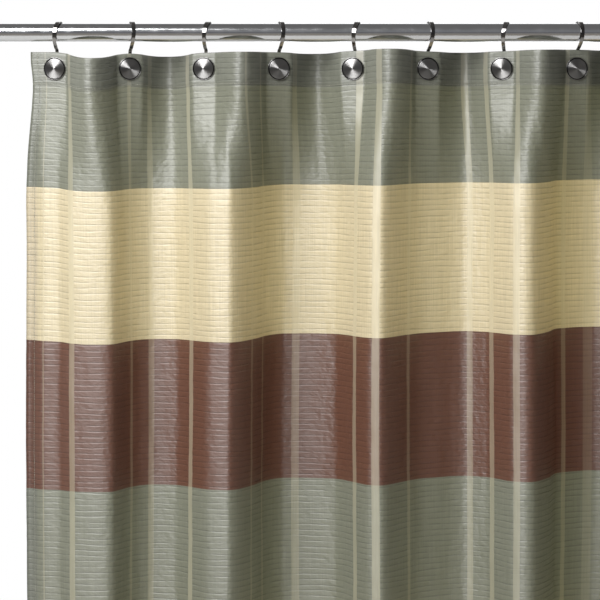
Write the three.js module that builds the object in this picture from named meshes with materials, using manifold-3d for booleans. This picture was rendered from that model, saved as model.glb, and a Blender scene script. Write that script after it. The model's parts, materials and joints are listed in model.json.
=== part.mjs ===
// A fabric shower curtain on a telescopic tension rod, hung by twelve disc hooks.
// Millimetres. The origin is the centre of the left pad's wall face, on the rod's axis:
// +X runs along the rod to the right, +Z is up and -Y is towards the viewer.
import * as THREE from "three";
import { mergeVertices } from "three/addons/utils/BufferGeometryUtils.js";
import Module from "manifold-3d";

const wasm = await Module();
wasm.setup();

// ---- driving dimensions ----
const GAP = 0.3; // between neighbouring pieces
const ROD_LENGTH = 1524; // wall to wall
const PAD = { wallRadius: 21, lipRadius: 16.5, faceThickness: 4, length: 32 };
const PRESS_TRAVEL = 10; // how far the sprung right pad pushes in
const OUTER_TUBE = { radius: 14, wall: 1, start: PAD.faceThickness + GAP, end: 1440 };
const INNER_TUBE = {
  radius: 12.5,
  wall: 1,
  start: 700,
  end: ROD_LENGTH - PAD.faceThickness - PRESS_TRAVEL - 1,
};
const NYLON_RADIUS = INNER_TUBE.radius - INNER_TUBE.wall - GAP; // pieces inside that tube

const CLOTH_WIDTH = 1800; // flat
const CLOTH_HEIGHT = 1800;
const CLOTH_TOP = -28.3; // height of the top edge against the rod's axis
const CLOTH_THICKNESS = 1.2;
const HEM_THICKNESS = 2.4;
const HEADER_HEM = 51;
const BOTTOM_HEM = 30;
const SIDE_HEM = 14;

const HOOK_COUNT = 12;
const FIRST_HOOK_X = 156;
const HOOK_PITCH = 111.4; // hung; the cloth between two hooks is longer and bows out
const SIDE_MARGIN = 38; // from the cloth's side edge to the first buttonhole, flat
const HOOK_YAW = THREE.MathUtils.degToRad(14); // the hooks turn left and right by turns
const BUTTONHOLE_DROP = 25.3; // below the top edge
const BUTTONHOLE = { width: 12, height: 5.2 };

const STRIP = { width: 6.4, thickness: 1.6, archRadius: 17.2, topClearance: 1.3 };
const STRIP_LEAN = THREE.MathUtils.degToRad(3.3); // the hooks hang with their tops to the right
const DISC = { radius: 17, rim: 1.2, cone: 3.2 };
const STUD = { radius: 2, headRadius: 3.6, headThickness: 1.2, holeRadius: 2.4 };

const STEEL = { color: 0xc9cacb, roughness: 0.15, metalness: 1 };
const TURNED_STEEL = { color: 0xb9babb, roughness: 0.3, metalness: 1 };
const CLOTH = { color: 0xa9aa9c, roughness: 0.85, metalness: 0 };
const RUBBER = { color: 0x8f9091, roughness: 0.7, metalness: 0 };
const NYLON = { color: 0xe6e4de, roughness: 0.5, metalness: 0 };

const CLOTH_BOTTOM = CLOTH_TOP - CLOTH_HEIGHT;
const HOLE_Z = CLOTH_TOP - BUTTONHOLE_DROP;
const FLAT_PITCH = (CLOTH_WIDTH - 2 * SIDE_MARGIN) / (HOOK_COUNT - 1);
const CLEAR_OF_CLOTH = HEM_THICKNESS / 2 + GAP + 0.5; // from the cloth's middle line
const LEG_CENTRE = -CLEAR_OF_CLOTH - STRIP.thickness / 2; // the strip's leg, behind it
const DISC_BACK = CLEAR_OF_CLOTH; // the disc's flat back, in front of it

// ---- booleans ----
function toSolid(geometry) {
  const bare = geometry.clone();
  bare.deleteAttribute("normal");
  bare.deleteAttribute("uv");
  const merged = mergeVertices(bare, 1e-4);
  return new wasm.Manifold(
    new wasm.Mesh({
      numProp: 3,
      vertProperties: new Float32Array(merged.attributes.position.array),
      triVerts: new Uint32Array(merged.index.array),
    }),
  );
}

function toGeometry(solid) {
  const mesh = solid.getMesh();
  const geometry = new THREE.BufferGeometry();
  geometry.setAttribute("position", new THREE.BufferAttribute(mesh.vertProperties, 3));
  geometry.setIndex(new THREE.BufferAttribute(mesh.triVerts, 1));
  return geometry;
}

function namedMesh(name, geometry, finish) {
  const mesh = new THREE.Mesh(geometry, new THREE.MeshStandardMaterial(finish));
  mesh.name = name;
  return mesh;
}

// ---- turned pieces ----
// A profile of [radius, along] points, turned about an axis that then lies along +X.
function turnedAlongX(profile, sides) {
  const points = profile.map(([radius, along]) => new THREE.Vector2(radius, along));
  return new THREE.LatheGeometry(points, sides).rotateZ(-Math.PI / 2);
}

function ringProfile(inner, outer, start, end) {
  return [
    [inner, start],
    [outer, start],
    [outer, end],
    [inner, end],
    [inner, start],
  ];
}

function tube({ radius, wall, start, end }, sides) {
  return turnedAlongX(ringProfile(radius - wall, radius, start, end), sides);
}

// A rubber cup with its closed face on the wall at 0 and its mouth at PAD.length.
function padCup(boreRadius) {
  return turnedAlongX(
    [
      [0, 0],
      [PAD.wallRadius, 0],
      [PAD.wallRadius, PAD.faceThickness],
      [PAD.lipRadius + 1, 10],
      [PAD.lipRadius, PAD.length],
      [boreRadius, PAD.length],
      [boreRadius, PAD.faceThickness],
      [0, PAD.faceThickness],
    ],
    32,
  );
}

// ---- the rod ----
function outerTubeParts() {
  const collar = ringProfile(
    INNER_TUBE.radius + GAP,
    OUTER_TUBE.radius + 0.6,
    OUTER_TUBE.end + GAP,
    OUTER_TUBE.end + 12,
  );
  return [
    namedMesh("rod_outer_tube", tube(OUTER_TUBE, 48), STEEL),
    namedMesh("left_wall_pad", padCup(OUTER_TUBE.radius + GAP), RUBBER),
    namedMesh("step_collar", turnedAlongX(collar, 32), NYLON),
  ];
}

// The expanding plug that grips inside the outer tube, on its screw and insert.
function rodLock() {
  const screwRadius = 4;
  const plugStart = INNER_TUBE.start - 40;
  const plug = ringProfile(
    screwRadius + GAP,
    OUTER_TUBE.radius - OUTER_TUBE.wall - GAP,
    plugStart,
    INNER_TUBE.start - GAP,
  );
  const insert = ringProfile(
    screwRadius + GAP,
    NYLON_RADIUS,
    INNER_TUBE.start + GAP,
    INNER_TUBE.start + 25,
  );
  const screw = [
    [0, plugStart - 6],
    [2 * screwRadius, plugStart - 6],
    [2 * screwRadius, plugStart - GAP],
    [screwRadius, plugStart - GAP],
    [screwRadius, INNER_TUBE.start + 30],
    [0, INNER_TUBE.start + 30],
  ];
  return [
    namedMesh("lock_plug", turnedAlongX(plug, 24), NYLON),
    namedMesh("lock_insert", turnedAlongX(insert, 24), NYLON),
    namedMesh("lock_screw", turnedAlongX(screw, 16), STEEL),
  ];
}

class Helix extends THREE.Curve {
  constructor(radius, start, end, turns) {
    super();
    Object.assign(this, { radius, start, end, turns });
  }

  getPoint(t, target = new THREE.Vector3()) {
    const angle = 2 * Math.PI * this.turns * t;
    return target.set(
      THREE.MathUtils.lerp(this.start, this.end, t),
      this.radius * Math.cos(angle),
      this.radius * Math.sin(angle),
    );
  }
}

// The spring behind the right pad, between its stop and the plunger.
function rodSpring() {
  const stopEnd = 1388;
  const plungerStart = 1450;
  const wireRadius = 1.2;
  const coilRadius = 8.5;
  const turns = 7;
  const endRoom = wireRadius + 2 * GAP;
  const wireSection = new THREE.Shape();
  wireSection.absarc(0, 0, wireRadius, 0, 2 * Math.PI, false);
  const coil = new THREE.ExtrudeGeometry(wireSection, {
    extrudePath: new Helix(coilRadius, stopEnd + endRoom, plungerStart - endRoom, turns),
    steps: turns * 10,
    curveSegments: 3,
  });
  const plunger = [
    [0, plungerStart],
    [NYLON_RADIUS, plungerStart],
    [NYLON_RADIUS, ROD_LENGTH - PAD.faceThickness - GAP],
    [0, ROD_LENGTH - PAD.faceThickness - GAP],
  ];
  return {
    stop: namedMesh(
      "spring_stop",
      turnedAlongX(ringProfile(coilRadius / 2, NYLON_RADIUS, stopEnd - 8, stopEnd), 24),
      NYLON,
    ),
    spring: namedMesh("tension_spring", coil, STEEL),
    plunger: namedMesh("end_plunger", turnedAlongX(plunger, 24), NYLON),
  };
}

function rod() {
  const { stop, spring, plunger } = rodSpring();
  const rightPad = namedMesh("right_wall_pad", padCup(INNER_TUBE.radius + GAP), RUBBER);
  rightPad.rotation.z = Math.PI;
  rightPad.position.x = ROD_LENGTH;
  const group = new THREE.Group();
  group.add(...outerTubeParts(), namedMesh("rod_inner_tube", tube(INNER_TUBE, 40), STEEL));
  group.add(...rodLock(), stop, spring, plunger, rightPad);
  return group;
}

// ---- the curtain ----
const hookX = (index) => FIRST_HOOK_X + index * HOOK_PITCH;
// Even indices face left and odd ones right, seen from the front.
const hookYaw = (index) => (index % 2 === 0 ? -HOOK_YAW : HOOK_YAW);

// The cloth's middle line between the flats of two neighbouring hooks: one bow, whose
// handles lengthen until the cloth in it is as long as it was cut.
function bow(from, to, length, forward) {
  const lean = THREE.MathUtils.degToRad(64);
  const curveOfReach = (reach) => {
    const handle = new THREE.Vector2(Math.cos(lean), forward * Math.sin(lean));
    const start = from.clone().addScaledVector(handle, reach);
    const end = to.clone().add(new THREE.Vector2(-handle.x, handle.y).multiplyScalar(reach));
    return new THREE.CubicBezierCurve(from, start, end, to);
  };
  let low = 1;
  let high = 150;
  for (let step = 0; step < 40; step += 1) {
    const middle = (low + high) / 2;
    if (curveOfReach(middle).getLength() < length) low = middle;
    else high = middle;
  }
  return curveOfReach(low);
}

// Points of the cloth's middle line in plan (x, y), from the left edge to the right one.
function foldLine() {
  const flatHalf = DISC.radius + 2; // the discs press the cloth flat
  const bowSteps = 8;
  const line = [];
  const along = (index, distance) =>
    new THREE.Vector2(
      hookX(index) + distance * Math.cos(hookYaw(index)),
      distance * Math.sin(hookYaw(index)),
    );
  line.push(along(0, -SIDE_MARGIN), along(0, -SIDE_MARGIN + SIDE_HEM));
  for (let index = 0; index < HOOK_COUNT - 1; index += 1) {
    const forward = index % 2 === 0 ? -1 : 1;
    const from = along(index, flatHalf);
    const to = along(index + 1, -flatHalf);
    const curve = bow(from, to, FLAT_PITCH - 2 * flatHalf, forward);
    line.push(along(index, -flatHalf), ...curve.getSpacedPoints(bowSteps));
  }
  const last = HOOK_COUNT - 1;
  line.push(along(last, -flatHalf), along(last, SIDE_MARGIN - SIDE_HEM), along(last, SIDE_MARGIN));
  return line;
}

// The outline of a cloth of this thickness that follows the fold line. The side hems
// are the first and last stretch of it, and have the hem's thickness.
function clothOutline(line, thickness) {
  const offset = (index, side) => {
    const before = line[Math.max(index - 1, 0)];
    const after = line[Math.min(index + 1, line.length - 1)];
    const normal = new THREE.Vector2(before.y - after.y, after.x - before.x).normalize();
    const hem = index < 2 || index > line.length - 3;
    const half = (hem ? HEM_THICKNESS : thickness) / 2;
    return line[index].clone().addScaledVector(normal, side * half);
  };
  const front = line.map((_, index) => offset(index, -1));
  const back = line.map((_, index) => offset(index, 1)).reverse();
  return new THREE.Shape([...front, ...back]);
}

function clothPanel(line, thickness, bottom, top) {
  const panel = new THREE.ExtrudeGeometry(clothOutline(line, thickness), {
    depth: top - bottom,
    bevelEnabled: false,
    steps: 1,
  });
  return toSolid(panel.translate(0, 0, bottom));
}

function buttonhole(index) {
  const slit = new THREE.BoxGeometry(BUTTONHOLE.width, 4 * HEM_THICKNESS, BUTTONHOLE.height);
  return toSolid(slit.rotateZ(hookYaw(index)).translate(hookX(index), 0, HOLE_Z));
}

function clothPiece() {
  const line = foldLine();
  const overlap = 0.05; // so that the hems and the cloth join into one body
  const headerBottom = CLOTH_TOP - HEADER_HEM;
  const hemTop = CLOTH_BOTTOM + BOTTOM_HEM;
  let cloth = clothPanel(line, CLOTH_THICKNESS, hemTop - overlap, headerBottom + overlap)
    .add(clothPanel(line, HEM_THICKNESS, headerBottom, CLOTH_TOP))
    .add(clothPanel(line, HEM_THICKNESS, CLOTH_BOTTOM, hemTop));
  for (let index = 0; index < HOOK_COUNT; index += 1) cloth = cloth.subtract(buttonhole(index));
  return namedMesh("curtain_cloth", toGeometry(cloth), CLOTH);
}

// ---- the hooks ----
// The strip's middle line, seen from its side: x is forward and y is up. It starts low
// behind the rod, arches over it, curls under it and ends as a leg behind the cloth.
function stripLine() {
  const radius = STRIP.archRadius + STRIP.thickness / 2;
  const centreZ = OUTER_TUBE.radius + STRIP.topClearance - STRIP.archRadius;
  const arc = (degrees) => {
    const angle = THREE.MathUtils.degToRad(degrees);
    return new THREE.Vector2(radius * Math.sin(angle), centreZ + radius * Math.cos(angle));
  };
  const line = [new THREE.Vector2(-radius - 2.4, centreZ - 13)];
  for (let degrees = -110; degrees <= 145; degrees += 15) line.push(arc(degrees));
  line.push(new THREE.Vector2(4.6, -22));
  line.push(new THREE.Vector2(LEG_CENTRE + 1.4, CLOTH_TOP + 2.2));
  line.push(new THREE.Vector2(LEG_CENTRE, CLOTH_TOP - 2));
  line.push(new THREE.Vector2(LEG_CENTRE, HOLE_Z - 5));
  return line;
}

function stripGeometry() {
  const line = stripLine();
  const side = (index, sign) => {
    const before = line[Math.max(index - 1, 0)];
    const after = line[Math.min(index + 1, line.length - 1)];
    const normal = new THREE.Vector2(before.y - after.y, after.x - before.x).normalize();
    return line[index].clone().addScaledVector(normal, (sign * STRIP.thickness) / 2);
  };
  const outer = line.map((_, index) => side(index, 1));
  const inner = line.map((_, index) => side(index, -1)).reverse();
  const outline = new THREE.Shape([...outer, ...inner]);
  const blank = new THREE.ExtrudeGeometry(outline, {
    depth: STRIP.width,
    bevelEnabled: false,
  });
  // The outline's forward (x) turns to -Y and its up (y) to +Z, with the width along X.
  blank.translate(0, 0, -STRIP.width / 2);
  blank.applyMatrix4(
    new THREE.Matrix4().set(0, 0, -1, 0, -1, 0, 0, 0, 0, 1, 0, 0, 0, 0, 0, 1),
  );
  blank.translate(0, 0, -HOLE_Z).rotateY(STRIP_LEAN).translate(0, 0, HOLE_Z);
  const drill = new THREE.CylinderGeometry(STUD.holeRadius, STUD.holeRadius, 8, 8);
  drill.translate(0, -LEG_CENTRE, HOLE_Z);
  return toGeometry(toSolid(blank).subtract(toSolid(drill)));
}

// Turned about an axis that points forward, along -Y, at the buttonhole's height.
function turnedForward(profile, sides) {
  const points = profile.map(([radius, forward]) => new THREE.Vector2(radius, forward));
  return new THREE.LatheGeometry(points, sides).rotateX(Math.PI).translate(0, 0, HOLE_Z);
}

function discGeometry() {
  return turnedForward(
    [
      [0, DISC_BACK],
      [DISC.radius - 0.4, DISC_BACK],
      [DISC.radius, DISC_BACK + 0.4],
      [DISC.radius - 0.2, DISC_BACK + DISC.rim],
      [0, DISC_BACK + DISC.rim + DISC.cone],
    ],
    24,
  );
}

// The stud runs from its riveted head behind the strip to the disc's back.
function studGeometry() {
  const strapBack = LEG_CENTRE - STRIP.thickness / 2;
  return turnedForward(
    [
      [0, strapBack - GAP - STUD.headThickness],
      [STUD.headRadius, strapBack - GAP - STUD.headThickness],
      [STUD.headRadius, strapBack - GAP],
      [STUD.radius, strapBack - GAP],
      [STUD.radius, DISC_BACK - GAP],
      [0, DISC_BACK - GAP],
    ],
    10,
  );
}

function hook(index) {
  const number = String(index + 1).padStart(2, "0");
  const group = new THREE.Group();
  group.add(
    namedMesh(`hook_${number}_strip`, stripGeometry(), STEEL),
    namedMesh(`hook_${number}_disc`, discGeometry(), TURNED_STEEL),
    namedMesh(`hook_${number}_stud`, studGeometry(), STEEL),
  );
  group.position.x = hookX(index);
  group.rotation.z = hookYaw(index);
  return group;
}

const showerCurtain = new THREE.Group();
showerCurtain.add(rod(), clothPiece());
for (let index = 0; index < HOOK_COUNT; index += 1) showerCurtain.add(hook(index));

export default showerCurtain;
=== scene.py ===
"""A woven shower curtain that hangs in folds from a telescopic tension rod."""

import json
import logging
import math
from dataclasses import dataclass
from enum import Enum
from typing import Any, Sequence

import bmesh
import bpy
import numpy as np
from mathutils import Matrix, Vector, noise


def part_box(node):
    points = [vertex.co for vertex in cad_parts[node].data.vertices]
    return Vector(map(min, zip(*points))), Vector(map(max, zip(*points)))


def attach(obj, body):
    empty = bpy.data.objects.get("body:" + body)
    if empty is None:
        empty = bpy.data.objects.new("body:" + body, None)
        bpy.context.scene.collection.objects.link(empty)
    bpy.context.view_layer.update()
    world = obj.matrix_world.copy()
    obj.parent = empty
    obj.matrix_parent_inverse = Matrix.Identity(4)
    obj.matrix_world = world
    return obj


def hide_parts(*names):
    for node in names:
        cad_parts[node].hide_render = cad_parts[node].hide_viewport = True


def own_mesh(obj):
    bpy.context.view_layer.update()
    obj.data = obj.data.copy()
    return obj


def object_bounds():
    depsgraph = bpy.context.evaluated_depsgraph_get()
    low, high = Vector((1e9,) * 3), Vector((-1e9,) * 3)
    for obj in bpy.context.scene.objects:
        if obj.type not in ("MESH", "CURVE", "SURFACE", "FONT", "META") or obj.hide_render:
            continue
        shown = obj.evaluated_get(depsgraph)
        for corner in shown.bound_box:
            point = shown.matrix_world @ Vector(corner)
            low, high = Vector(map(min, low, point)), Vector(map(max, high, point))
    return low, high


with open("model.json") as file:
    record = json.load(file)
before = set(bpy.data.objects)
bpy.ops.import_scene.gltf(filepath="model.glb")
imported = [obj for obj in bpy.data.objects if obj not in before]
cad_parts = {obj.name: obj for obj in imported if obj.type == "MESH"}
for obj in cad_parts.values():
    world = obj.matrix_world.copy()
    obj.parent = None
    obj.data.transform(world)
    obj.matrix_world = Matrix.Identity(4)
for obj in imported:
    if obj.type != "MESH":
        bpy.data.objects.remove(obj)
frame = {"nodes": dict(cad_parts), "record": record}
CAD_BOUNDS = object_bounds()

LOG = logging.getLogger("shower_curtain")
MM = 0.001
HOOK_COUNT = 12
FLAT_MAP = "flat"  # metres across the cut cloth and down its warp
TURN_MAP = "turned"  # round a turned or swept piece, and along its profile or path
WAVE_PERIOD = 0.314  # metres between a wave texture's bands at scale 1
GRAIN_ALONG_MAP = 0.25  # of a turn: highlights spread across a map's first direction


class Slot(Enum):
    """The record's material slots."""

    POLISHED_STEEL = "polished_steel"
    TURNED_STEEL = "turned_steel"
    WOVEN_CLOTH = "woven_cloth"
    PAD_RUBBER = "pad_rubber"
    LOCK_NYLON = "lock_nylon"


class Layer(Enum):
    """The side of the cloth that a row of its mesh is on: the face, or a hem's back."""

    FACE = 1
    BACK = -1


# ---- nodes and colours ----
def linear(code: str) -> tuple[float, float, float, float]:
    """Turn an sRGB hex colour into linear colour with alpha 1.

    Args:
        code: The colour as #rrggbb.

    Returns:
        Red, green, blue and alpha for a shader socket.
    """
    parts = [int(code[i : i + 2], 16) / 255 for i in (1, 3, 5)]
    lin = [c / 12.92 if c <= 0.04045 else ((c + 0.055) / 1.055) ** 2.4 for c in parts]
    return (lin[0], lin[1], lin[2], 1.0)


def add_node(
    tree: bpy.types.NodeTree,
    kind: str,
    inputs: dict[Any, Any] | None = None,
    stops: Sequence[tuple[float, Sequence[float]]] = (),
    **settings: Any,
) -> bpy.types.Node:
    """Add a node with its settings, its input values and its links.

    Args:
        tree: The node tree that gets the node.
        kind: The node's Blender type.
        inputs: Socket name or number to a value, or to the output socket to link.
        stops: Positions and colours, for a colour ramp.
        settings: The node's own properties.

    Returns:
        The new node.
    """
    node = tree.nodes.new(kind)
    for name, value in settings.items():
        setattr(node, name, value)
    for key, value in (inputs or {}).items():
        if isinstance(value, bpy.types.NodeSocket):
            tree.links.new(value, node.inputs[key])
        else:
            node.inputs[key].default_value = value
    for index, (position, colour) in enumerate(stops):
        elements = node.color_ramp.elements
        if index >= len(elements):
            elements.new(position)
        elements[index].position = position
        elements[index].color = colour
    return node


def grey(value: float) -> tuple[float, float, float, float]:
    """Give a linear grey with alpha 1."""
    return (value, value, value, 1.0)


@dataclass(frozen=True)
class Finish:
    """A surface finish, which builds its material once."""

    name: str

    def material(self) -> bpy.types.Material:
        """Build the material, or give the one already built.

        Returns:
            The material under this finish's name.
        """
        found = bpy.data.materials.get(self.name)
        if found:
            return found
        made = bpy.data.materials.new(self.name)
        made.use_nodes = True
        tree = made.node_tree
        tree.nodes.clear()
        surface = self.shade(tree)
        add_node(tree, "ShaderNodeOutputMaterial", {"Surface": surface})
        return made

    def shade(self, tree: bpy.types.NodeTree) -> bpy.types.NodeSocket:
        """Build the shader nodes; each finish has its own."""
        raise NotImplementedError


@dataclass(frozen=True)
class PolishedSteel(Finish):
    """Steel drawn to shape and polished or plated: a mirror with faint long scratches."""

    colour: str = "#c9cacc"
    roughness: float = 0.1
    scratch_depth: float = 0.03 * MM

    def shade(self, tree: bpy.types.NodeTree) -> bpy.types.NodeSocket:
        """Build a mirror finish with lengthwise scratches and thin smears.

        Args:
            tree: The material's node tree.

        Returns:
            The shader's output socket.
        """
        place = add_node(tree, "ShaderNodeTexCoord").outputs["Object"]
        # Scratches 0.5 mm apart across the piece and some 40 mm long.
        along = add_node(
            tree, "ShaderNodeMapping", {"Vector": place, "Scale": (25.0, 2000.0, 2000.0)}
        )
        scratches = add_node(
            tree, "ShaderNodeTexNoise", {"Vector": along.outputs[0], "Scale": 1.0, "Detail": 2.0}
        )
        # Smears from fingers and drops, some 17 mm across.
        smears = add_node(
            tree, "ShaderNodeTexNoise", {"Vector": place, "Scale": 60.0, "Detail": 3.0}
        )
        rough = add_node(
            tree,
            "ShaderNodeMapRange",
            {
                "Value": smears.outputs["Fac"],
                "From Min": 0.35,
                "From Max": 0.75,
                "To Min": self.roughness * 0.8,
                "To Max": self.roughness * 1.7,
            },
        )
        bump = add_node(
            tree,
            "ShaderNodeBump",
            {"Height": scratches.outputs["Fac"], "Strength": 0.25, "Distance": self.scratch_depth},
        )
        return add_node(
            tree,
            "ShaderNodeBsdfPrincipled",
            {
                "Base Color": linear(self.colour),
                "Metallic": 1.0,
                "Roughness": rough.outputs[0],
                "Normal": bump.outputs[0],
            },
        ).outputs[0]


@dataclass(frozen=True)
class TurnedSteel(Finish):
    """Steel faced off on a lathe: circular tool marks that spread light across them."""

    colour: str = "#979695"
    roughness: float = 0.42
    mark_pitch: float = 0.45 * MM  # between tool marks, coarse enough to show
    mark_depth: float = 0.04 * MM
    # Painted shade for the groove at the rim: its dark colour.
    groove_shade: str = "#2f2d2c"
    groove: tuple[float, float] = (19.75 * MM, 1.45 * MM)  # along the profile: middle, half width

    def shade(self, tree: bpy.types.NodeTree) -> bpy.types.NodeSocket:
        """Build the turned face from its map of the turn and the way along the profile.

        Args:
            tree: The material's node tree.

        Returns:
            The shader's output socket.
        """
        turn = add_node(tree, "ShaderNodeUVMap", uv_map=TURN_MAP).outputs[0]
        along = add_node(tree, "ShaderNodeSeparateXYZ", {0: turn}).outputs["Y"]
        step = add_node(tree, "ShaderNodeMath", {0: along, 1: self.mark_pitch}, operation="DIVIDE")
        marks = add_node(
            tree,
            "ShaderNodeTexNoise",
            {"W": step.outputs[0], "Scale": 1.0, "Detail": 2.0},
            noise_dimensions="1D",
        )
        rough = add_node(
            tree,
            "ShaderNodeMapRange",
            {
                "Value": marks.outputs["Fac"],
                "To Min": self.roughness * 0.75,
                "To Max": self.roughness * 1.25,
            },
        )
        bump = add_node(
            tree,
            "ShaderNodeBump",
            {"Height": marks.outputs["Fac"], "Strength": 0.35, "Distance": self.mark_depth},
        )
        # Painted shade: the groove at the rim is darkened in the base colour.
        grooved = add_node(
            tree,
            "ShaderNodeMath",
            {0: along, 1: self.groove[0], 2: self.groove[1]},
            operation="COMPARE",
        )
        tone = add_node(
            tree,
            "ShaderNodeMix",
            {0: grooved.outputs[0], 6: linear(self.colour), 7: linear(self.groove_shade)},
            data_type="RGBA",
        )
        tangent = add_node(tree, "ShaderNodeTangent", direction_type="UV_MAP", uv_map=TURN_MAP)
        return add_node(
            tree,
            "ShaderNodeBsdfPrincipled",
            {
                "Base Color": tone.outputs[2],
                "Metallic": 1.0,
                "Roughness": rough.outputs[0],
                "Anisotropic": 1.0,
                "Anisotropic Rotation": GRAIN_ALONG_MAP,
                "Tangent": tangent.outputs[0],
                "Normal": bump.outputs[0],
            },
        ).outputs[0]


@dataclass(frozen=True)
class Moulded(Finish):
    """A moulded polymer: rubber or nylon with a fine spark-eroded grain."""

    colour: str = "#8d8e90"
    roughness: float = 0.6
    ior: float = 1.5
    grain: float = 0.8 * MM
    grain_depth: float = 0.08 * MM

    def shade(self, tree: bpy.types.NodeTree) -> bpy.types.NodeSocket:
        """Build the moulded surface with its grain and slight blotches.

        Args:
            tree: The material's node tree.

        Returns:
            The shader's output socket.
        """
        place = add_node(tree, "ShaderNodeTexCoord").outputs["Object"]
        grain = add_node(
            tree,
            "ShaderNodeTexNoise",
            {"Vector": place, "Scale": 1.0 / self.grain, "Detail": 2.0},
        )
        # Blotches of 22 mm, up to an eighth lighter, where it has been handled.
        blotches = add_node(
            tree, "ShaderNodeTexNoise", {"Vector": place, "Scale": 45.0, "Detail": 3.0}
        )
        base = linear(self.colour)
        worn = tuple(min(1.0, c * 1.12) for c in base[:3]) + (1.0,)
        tone = add_node(
            tree, "ShaderNodeMix", {0: blotches.outputs["Fac"], 6: base, 7: worn}, data_type="RGBA"
        )
        bump = add_node(
            tree,
            "ShaderNodeBump",
            {"Height": grain.outputs["Fac"], "Strength": 0.4, "Distance": self.grain_depth},
        )
        return add_node(
            tree,
            "ShaderNodeBsdfPrincipled",
            {
                "Base Color": tone.outputs[2],
                "Roughness": self.roughness,
                "IOR": self.ior,
                "Normal": bump.outputs[0],
            },
        ).outputs[0]


@dataclass(frozen=True)
class Thread(Finish):
    """Spun polyester sewing thread: two plies twisted together."""

    colour: str = "#a3a293"
    twist: float = 0.9 * MM  # from ply to ply

    def shade(self, tree: bpy.types.NodeTree) -> bpy.types.NodeSocket:
        """Build the thread with painted shade in the slanted crevices of its twist.

        Args:
            tree: The material's node tree.

        Returns:
            The shader's output socket.
        """
        place = add_node(tree, "ShaderNodeTexCoord").outputs["Object"]
        plies = add_node(
            tree,
            "ShaderNodeTexWave",
            {"Vector": place, "Scale": WAVE_PERIOD / self.twist, "Distortion": 1.0},
            bands_direction="DIAGONAL",
        )
        base = linear(self.colour)
        # Painted shade: the crevices between the plies are 0.7 times the thread's colour.
        shade = tuple(c * 0.7 for c in base[:3]) + (1.0,)
        tone = add_node(
            tree, "ShaderNodeMix", {0: plies.outputs["Fac"], 6: shade, 7: base}, data_type="RGBA"
        )
        return add_node(
            tree,
            "ShaderNodeBsdfPrincipled",
            {"Base Color": tone.outputs[2], "Roughness": 0.6, "Sheen Weight": 0.2},
        ).outputs[0]


@dataclass(frozen=True)
class WarpStripe:
    """A smooth satin stripe in the warp, with its place across the flat cloth in mm."""

    start: float
    end: float
    strength: float = 1.0


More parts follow.
